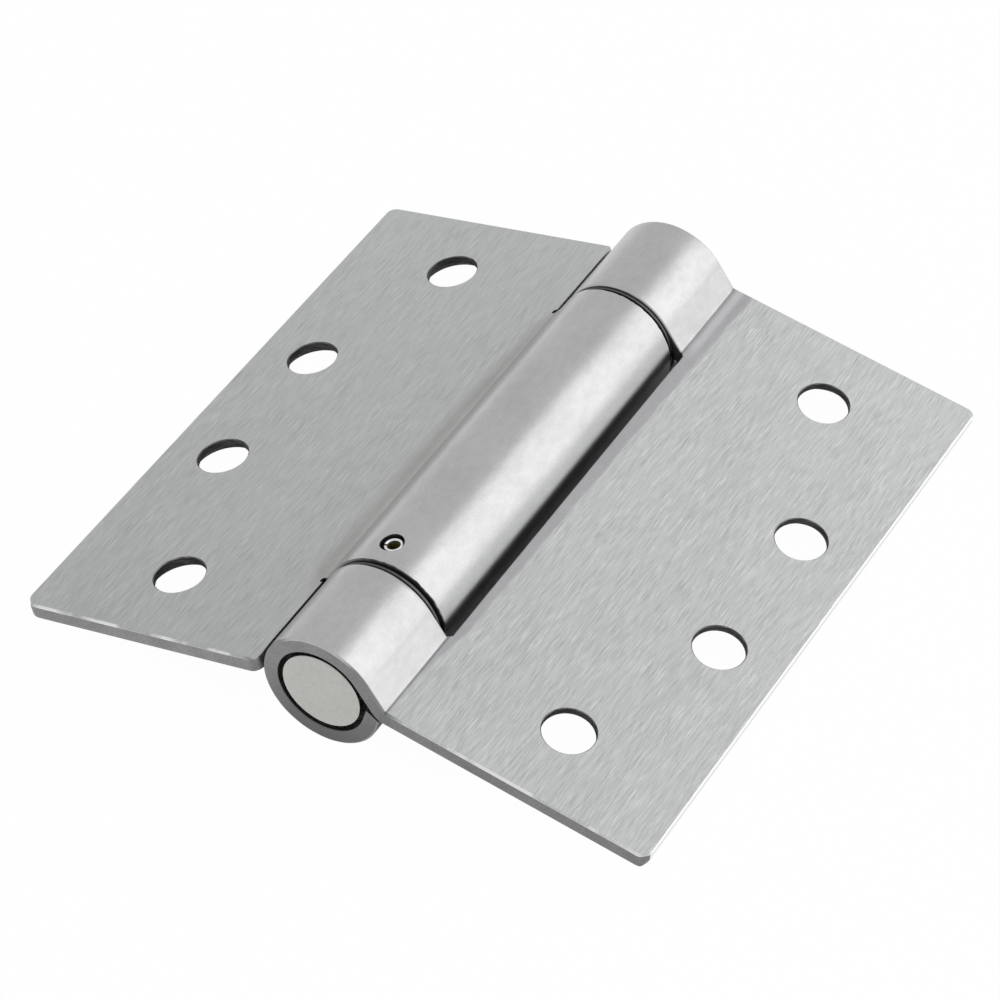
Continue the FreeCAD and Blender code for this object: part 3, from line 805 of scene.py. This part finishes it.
def bored_surface(name, low, high):
    """Dark wall of a bored or punched hole, with marks that run round it; also the near-black painted shade
    on the walls of the cutout.
    """
    surface = Surface(name)
    nodes = surface.nodes
    rings = surface.texture(*BORED_RINGS)
    share = nodes.ramp(rings, 0.36, 0.68)
    colour = nodes.mix(share, grey(low), grey(high))
    return surface.finish(colour, nodes.between(share, 0.5, 0.36), rings, 0.02)


def pin_surface(name, low, high):
    """Bright spring steel, yellow-olive and darker inside below its rim: a yellow tint with painted shade."""
    surface = Surface(name)
    nodes = surface.nodes
    grain = surface.texture((3.0, 3.0, 3.0), *GRAIN)
    share = nodes.ramp(grain, 0.3, 0.7)
    tinted_inside = nodes.mix(share, DARK_OLIVE, PALE_YELLOW)
    pin_rim_grey = nodes.mix(share, grey(low), grey(high))
    # yellow tint and painted shade inside the pin, below its rim
    colour = nodes.mix(nodes.ramp(surface.height, *PIN_TINT_TOP), tinted_inside, pin_rim_grey)
    return surface.finish(colour, nodes.between(share, 0.36, 0.26), grain, 0.002)


def brushed_share(surface, look, reach):
    """None on the roll, all beyond a border that drifts and wavers along the leaf."""
    nodes = surface.nodes
    border = look.borders[0][1]
    for (start, low), (stop, high) in zip(look.borders, look.borders[1:]):
        border = nodes.plus(border, nodes.ramp(surface.along, start, stop, 0.0, high - low))
    border = nodes.plus(border, nodes.times(surface.texture(*WAVER), BORDER_WAVER))
    half = look.border_softness / 2
    return nodes.ramp(nodes.less(reach, border), BORDER_SHIFT - half, BORDER_SHIFT + half)


def brushed_steel(surface, look):
    """Colour, gloss and relief of steel that is brushed along the barrel, with painted light that brightens
    it from the near to the far end.
    """
    nodes = surface.nodes
    sideways = nodes.add("ShaderNodeCombineXYZ", {"X": nodes.less(surface.texture(*DRIFT), 0.5)}).outputs[0]
    bent = nodes.vector("ADD", surface.place, sideways)
    streaks = nodes.times(surface.texture(*STREAKS, bent), 0.65)
    fine = nodes.times(surface.texture(*FINE_STREAKS, bent), 0.35)
    scratches = nodes.ramp(surface.texture(*SCRATCHES, bent), 0.64, 0.71)
    dents = nodes.ramp(surface.texture(*DENTS, bent), 0.65, 0.72)
    marks = nodes.less(scratches, dents)
    busy = nodes.ramp(surface.texture(*BUSY_PLACES), 0.32, 0.68, 0.75, 1.45)
    grain = nodes.plus(nodes.times(nodes.less(nodes.plus(streaks, fine), 0.5), busy), 0.5)
    lively = nodes.plus(grain, nodes.times(marks, busy, 0.12))
    lively = nodes.plus(lively, nodes.times(surface.texture(*CLOUDS), 0.12))
    # painted light: the brushing darker at the near end and brighter at the far end
    lively = nodes.plus(lively, nodes.ramp(surface.along, -HALF_HEIGHT, HALF_HEIGHT, *look.falloff))
    low, high = look.brushed_greys
    colour = nodes.mix(nodes.ramp(lively, *LIVELY), grey(low, COOL), grey(high, COOL))
    gloss = nodes.ramp(lively, *LIVELY, BRUSHED_ROUGHNESS + 0.04, BRUSHED_ROUGHNESS - 0.04)
    return colour, gloss, nodes.plus(grain, marks)


def smooth_steel(surface, look, beyond):
    """Colour, gloss and relief of the roll and the band beside it, with painted shade in the crease and a
    painted highlight beside it at the far end.  Beyond is the reach past the crease.
    """
    nodes = surface.nodes
    mottle = surface.texture(*MOTTLE)
    sand = surface.texture(*SAND)
    calm = nodes.plus(nodes.times(mottle, 0.5), nodes.times(surface.texture(*PATCHES), 0.5))
    even = nodes.ramp(calm, 0.35, 0.65)
    speckled = nodes.plus(even, nodes.times(nodes.less(sand, 0.5), 1.8))
    roll = nodes.mix(speckled, *[grey(value) for value in SMOOTH_GREYS])
    band = nodes.mix(speckled, *[grey(value, look.band_tint) for value in look.band_greys])
    colour = nodes.mix(nodes.ramp(beyond, -look.crease_softness, look.crease_softness), roll, band)
    # painted shade: the crease darkened towards black, less so at the far end
    in_crease = nodes.ramp(nodes.size(nodes.less(beyond, 0.04)), 0.12, 0.26, 1.0, 0.0)
    darker = nodes.times(in_crease, look.crease_dark, nodes.ramp(surface.along, *FAR_PART, 1.0, 0.55))
    colour = nodes.mix(darker, colour, grey(0.0))
    # painted highlight: brighter towards white beside the crease at the far end
    beside = nodes.times(nodes.ramp(beyond, 0.4, 0.8), nodes.ramp(beyond, 1.4, 2.0, 1.0, 0.0))
    brighter = nodes.times(beside, nodes.ramp(surface.along, *FAR_PART), look.far_streak)
    colour = nodes.mix(brighter, colour, grey(1.0))
    gloss = nodes.between(even, SMOOTH_ROUGHNESS + 0.03, SMOOTH_ROUGHNESS - 0.03)
    gloss = nodes.plus(gloss, nodes.ramp(nodes.size(beyond), 0.2, 1.2, look.crease_dull, 0.0))
    return colour, gloss, nodes.plus(nodes.times(mottle, 0.12), nodes.times(sand, 1.8))


def with_painted_rim_light(surface, reach, colour):
    """Painted highlight on the outer edge and, broken up, on the near edge of the plate; painted shade on the
    rim round the near knuckle, below its top.
    """
    nodes = surface.nodes
    near = nodes.ramp(surface.along, -HALF_HEIGHT + 0.28, -HALF_HEIGHT + 0.4, 1.0, 0.0)
    # painted shade on the near knuckle's rim, below its top
    below_top = nodes.ramp(surface.height, *KNUCKLE_TOP, 0.65, 0.0)
    knuckle_rim_shade = nodes.times(near, nodes.ramp(reach, *ROLL_TO_PLATE, 1.0, 0.0), below_top)
    colour = nodes.mix(knuckle_rim_shade, colour, grey(PAINTED_RIM_SHADE))
    # painted highlight on the near edge of the plate, broken up by noise
    near_edge_highlight = nodes.ramp(surface.texture(*HIGHLIGHT_BREAKS), 0.46, 0.54)
    near_edge_highlight = nodes.times(near, nodes.ramp(reach, *ROLL_TO_PLATE), near_edge_highlight)
    # painted highlight on the outer edge
    outer = nodes.ramp(reach, LEAF_REACH - 0.25, LEAF_REACH - 0.1)
    return nodes.mix(nodes.math("MAXIMUM", outer, near_edge_highlight), colour, grey(PAINTED_HIGHLIGHT_GREY))


def sheet_surface(name, look):
    """Sheet steel: smooth on the roll, then a band beyond the crease, then brushed along the barrel."""
    surface = Surface(name)
    nodes = surface.nodes
    from_axis = nodes.vector("SUBTRACT", surface.place, (0, 0, KNUCKLE_RADIUS))
    plate_way = (look.side * math.cos(SLOPE), 0, -math.sin(SLOPE))
    reach = nodes.vector("DOT_PRODUCT", from_axis, plate_way, "Value")
    share = brushed_share(surface, look, reach)
    brushed_colour, brushed_gloss, brushed_relief = brushed_steel(surface, look)
    smooth_colour, smooth_gloss, smooth_relief = smooth_steel(surface, look, nodes.less(reach, look.crease))
    colour = with_painted_rim_light(surface, reach, nodes.mix(share, smooth_colour, brushed_colour))
    gloss = nodes.between(share, smooth_gloss, brushed_gloss)
    relief = nodes.plus(nodes.times(brushed_relief, share), smooth_relief)
    return surface.finish(colour, gloss, relief, 0.006)


def dress(node, material):
    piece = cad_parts[node]
    piece.data.materials.clear()
    piece.data.materials.append(material)


# Surroundings
FLOOR_SIZE = 4.0
FLOOR_GREY = 0.8
FLOOR_GLOW = 0.98
UNDER_HINGE = (0.046, 0.052)        # metres from the middle, where metal stops seeing the shadow
ROOM_GLOW = 0.8
KEY_PANEL = {"azimuth": 60, "elevation": 28, "distance": 1.0, "width": 1.15, "height": 1.2, "power": 4.29}


def make_floor():
    """Floor that looks white and keeps a trace of the shadow.

    Metal sees the full shadow under the hinge and the white beside it.
    """
    bpy.ops.mesh.primitive_plane_add(size=FLOOR_SIZE, location=(0, 0, 0))
    floor = bpy.context.object
    floor.name = "floor"
    material = bpy.data.materials.new("floor_white")
    material.use_nodes = True
    nodes = Nodes(material.node_tree)
    rays = nodes.add("ShaderNodeLightPath").outputs
    place = nodes.add("ShaderNodeTexCoord").outputs["Object"]
    parts = nodes.add("ShaderNodeSeparateXYZ", {"Vector": place}).outputs
    beside = nodes.math("MAXIMUM", *[nodes.ramp(nodes.size(parts[axis]), *UNDER_HINGE) for axis in "XY"])
    straight = nodes.plus(rays["Is Camera Ray"], rays["Is Transmission Ray"])
    seen = nodes.times(nodes.plus(straight, nodes.times(rays["Is Glossy Ray"], beside)), FLOOR_GLOW)
    diffuse = nodes.add("ShaderNodeBsdfDiffuse", {"Color": grey(FLOOR_GREY)})
    glow = nodes.add("ShaderNodeEmission", {"Color": grey(1.0), "Strength": 1.0})
    both = nodes.add("ShaderNodeMixShader", {0: seen, 1: diffuse.outputs[0], 2: glow.outputs[0]})
    out = nodes.add("ShaderNodeOutputMaterial")
    nodes.tree.links.new(both.outputs[0], out.inputs["Surface"])
    floor.data.materials.append(material)


def make_panel(name, azimuth, elevation, distance, width, height, power):
    """Soft box that faces the object.  Azimuth 0 is towards +Y, 90 towards +X."""
    data = bpy.data.lights.new(name, "AREA")
    data.shape = "RECTANGLE"
    data.size = width
    data.size_y = height
    data.energy = power
    panel = bpy.data.objects.new(name, data)
    turn, rise = math.radians(azimuth), math.radians(elevation)
    way = Vector((math.sin(turn) * math.cos(rise), math.cos(turn) * math.cos(rise), math.sin(rise)))
    panel.location = way * distance
    panel.rotation_euler = way.to_track_quat("Z", "Y").to_euler()
    bpy.context.scene.collection.objects.link(panel)


def make_world(strength):
    """Pale room, the same for the camera and for the metal."""
    world = bpy.data.worlds.new("world")
    world.use_nodes = True
    nodes = Nodes(world.node_tree)
    room = nodes.add("ShaderNodeBackground", {"Color": grey(1.0), "Strength": strength})
    out = nodes.add("ShaderNodeOutputWorld")
    nodes.tree.links.new(room.outputs[0], out.inputs["Surface"])
    bpy.context.scene.world = world


make_camera()
knuckle_sheet = sheet_surface("satin_steel_of_the_knuckle_leaf", KNUCKLE_LEAF_LOOK)
barrel_sheet = sheet_surface("satin_steel_of_the_barrel_leaf", BARREL_LEAF_LOOK)
cut_steel = cut_surface("cut_steel", 0.22, 0.33)
bored_steel = bored_surface("bored_steel", 0.065, 0.23)
# painted shade: near black, for the walls of the cutout beside the barrel
painted_shade_steel = bored_surface("painted_shade_steel", 0.008, 0.03)
plate = plain_surface("plated_steel", (0.446, 0.49), 0.3, 1.2, 0.001, tint=ZINC)
washer = washer_surface("washer_steel", 0.065, 0.16)
pin = pin_surface("bright_pin", 0.8, 0.88)
nylon = plain_surface("dark_nylon", (0.008, 0.016), 0.6, 3.0, 0.004, metallic=0.0)
spring = plain_surface("spring_steel", (0.15, 0.22), 0.4, 4.0, 0.004)
for node, material in (
    ("knuckle_bush", nylon), ("barrel_bush", nylon), ("torsion_spring", spring), ("tension_adjuster", plate),
    ("tension_lock_pin", plate),
):
    dress(node, material)
make_end_knuckle_leaf(knuckle_sheet, cut_steel, painted_shade_steel, bored_steel)
make_barrel_leaf(barrel_sheet, cut_steel, bored_steel)
make_spindle(plate)
make_slotted_pin(pin)
make_washer(-1, washer)
make_washer(1, washer)
make_floor()
make_world(ROOM_GLOW)
make_panel("key_panel", **KEY_PANEL)

scene = bpy.context.scene
scene.view_settings.view_transform = "Standard"
